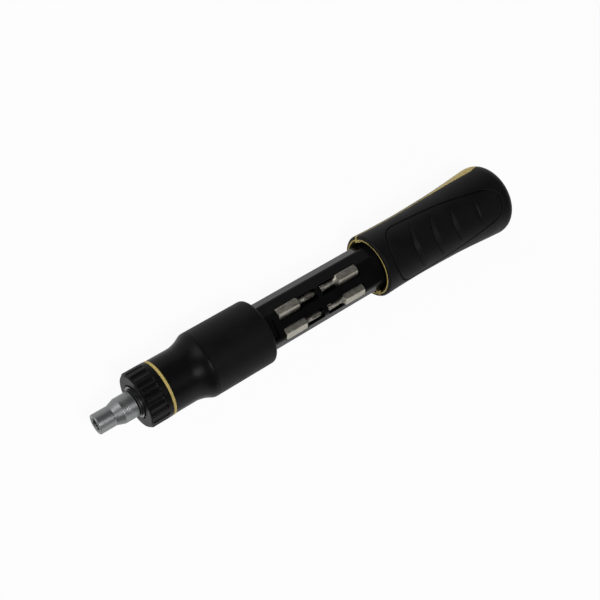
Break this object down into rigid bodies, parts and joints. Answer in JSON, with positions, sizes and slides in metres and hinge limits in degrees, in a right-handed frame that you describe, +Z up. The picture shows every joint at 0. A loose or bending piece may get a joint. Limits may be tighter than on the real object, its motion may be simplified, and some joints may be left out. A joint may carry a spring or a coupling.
{
  "type": "multi-bit ratchet screwdriver",
  "caption": "Ratchet screwdriver whose handle slides back along an eight-sided barrel that stores hex bits, with a turning selector ring and a magnetic hex bit holder.",
  "frame": {"origin": "middle of the whole tool's box, on the surface it lies on, with the handle pulled open", "axes": "+X along the tool towards the bit holder's tip, +Z up out of one of the two facets that hold bits, +Y across"},
  "size_m": [0.275, 0.0428, 0.0428],
  "materials": {
    "soft_black": "soft-touch moulded rubber, fine matt grain",
    "hard_black": "satin moulded plastic",
    "gloss_black": "polished moulded plastic",
    "yellow": "satin moulded plastic in warm yellow",
    "satin_chrome": "satin chrome on turned steel",
    "bit_steel": "sand-blasted tool steel",
    "spring_steel": "bright spring steel",
    "dark_steel": "blackened hardened steel",
    "bronze": "sintered bronze"
  },
  "bodies": {
    "tool_body": {"front_housing": "hard_black", "bit_barrel": "gloss_black", "collar_sleeve": "soft_black", "accent_band": "yellow", "ratchet_nose": "dark_steel", "front_bushing": "bronze", "retaining_clip": "spring_steel", "ratchet_base": "dark_steel", "tail_bushing": "bronze", "thrust_washer": "bronze", "cage_screw_1": "spring_steel", "cage_screw_2": "spring_steel", "cage_screw_3": "spring_steel", "pawl_pin_forward": "spring_steel", "pawl_pin_reverse": "spring_steel", "pawl_spring_forward": "spring_steel", "pawl_spring_reverse": "spring_steel", "click_spring": "spring_steel", "housing_screw_1": "spring_steel", "housing_screw_2": "spring_steel", "housing_screw_3": "spring_steel", "tie_rod": "spring_steel", "tie_rod_nut": "spring_steel", "slide_stop": "hard_black", "slide_spring": "spring_steel"},
    "spindle": {"bit_holder": "satin_chrome", "holder_magnet": "dark_steel", "drive_spindle": "dark_steel", "ratchet_gear": "dark_steel"},
    "selector": {"selector_ring": "hard_black", "selector_cam": "dark_steel"},
    "forward_pawl": {"pawl_forward": "dark_steel"},
    "reverse_pawl": {"pawl_reverse": "dark_steel"},
    "selector_ball": {"click_ball": "spring_steel"},
    "handle": {"handle_shell": "yellow", "handle_lip": "yellow", "handle_grip": "soft_black"},
    "handle_ball": {"slide_ball": "spring_steel"},
    "cross_small": {"bit_cross_small": "bit_steel"},
    "cross_large": {"bit_cross_large": "bit_steel"},
    "star_small": {"bit_star_small": "bit_steel"},
    "star_large": {"bit_star_large": "bit_steel"},
    "flat_small": {"bit_flat_small": "bit_steel"},
    "flat_large": {"bit_flat_large": "bit_steel"},
    "cross_fine": {"bit_cross_fine": "bit_steel"},
    "star_fine": {"bit_star_fine": "bit_steel"}
  },
  "joints": [
    {"name": "handle_slide", "type": "slide", "parent": "tool_body", "child": "handle", "axis": [-1, 0, 0], "range_m": [-0.0769, 0]},
    {"name": "spindle_turn", "type": "hinge", "parent": "tool_body", "child": "spindle", "pos_m": [0.1, 0, 0.02139], "axis": [1, 0, 0], "continuous": true},
    {"name": "selector_turn", "type": "hinge", "parent": "tool_body", "child": "selector", "pos_m": [0.108, 0, 0.02139], "axis": [1, 0, 0], "range_deg": [-20, 20]},
    {"name": "forward_pawl_swing", "type": "hinge", "parent": "tool_body", "child": "forward_pawl", "pos_m": [0.092, -0.00896, 0.02297], "axis": [1, 0, 0], "range_deg": [-5, 5]},
    {"name": "reverse_pawl_swing", "type": "hinge", "parent": "tool_body", "child": "reverse_pawl", "pos_m": [0.092, 0.00896, 0.02297], "axis": [1, 0, 0], "range_deg": [-5, 5]},
    {"name": "click_ball_press", "type": "slide", "parent": "tool_body", "child": "selector_ball", "axis": [1, 0, 0], "range_m": [-0.0003, 0.0003], "stiffness_N_per_m": 200, "deforming": ["click_spring"]},
    {"name": "slide_ball_press", "type": "slide", "parent": "tool_body", "child": "handle_ball", "axis": [0, 0, 1], "range_m": [-0.0003, 0.0003], "stiffness_N_per_m": 200, "deforming": ["slide_spring"]},
    {"name": "cross_small_lift", "type": "slide", "parent": "tool_body", "child": "cross_small", "axis": [0, 0, 1], "range_m": [0, 0.01]},
    {"name": "cross_large_lift", "type": "slide", "parent": "tool_body", "child": "cross_large", "axis": [0, 0, 1], "range_m": [0, 0.01]},
    {"name": "star_small_lift", "type": "slide", "parent": "tool_body", "child": "star_small", "axis": [0, 0, 1], "range_m": [0, 0.01]},
    {"name": "star_large_lift", "type": "slide", "parent": "tool_body", "child": "star_large", "axis": [0, 0, 1], "range_m": [0, 0.01]},
    {"name": "flat_small_lift", "type": "slide", "parent": "tool_body", "child": "flat_small", "axis": [0, 0, -1], "range_m": [0, 0.01]},
    {"name": "flat_large_lift", "type": "slide", "parent": "tool_body", "child": "flat_large", "axis": [0, 0, -1], "range_m": [0, 0.01]},
    {"name": "cross_fine_lift", "type": "slide", "parent": "tool_body", "child": "cross_fine", "axis": [0, 0, -1], "range_m": [0, 0.01]},
    {"name": "star_fine_lift", "type": "slide", "parent": "tool_body", "child": "star_fine", "axis": [0, 0, -1], "range_m": [0, 0.01]}
  ],
  "couplings": [
    {"joint": "forward_pawl_swing", "follows": "selector_turn", "ratio": 0.25},
    {"joint": "reverse_pawl_swing", "follows": "selector_turn", "ratio": 0.25}
  ]
}
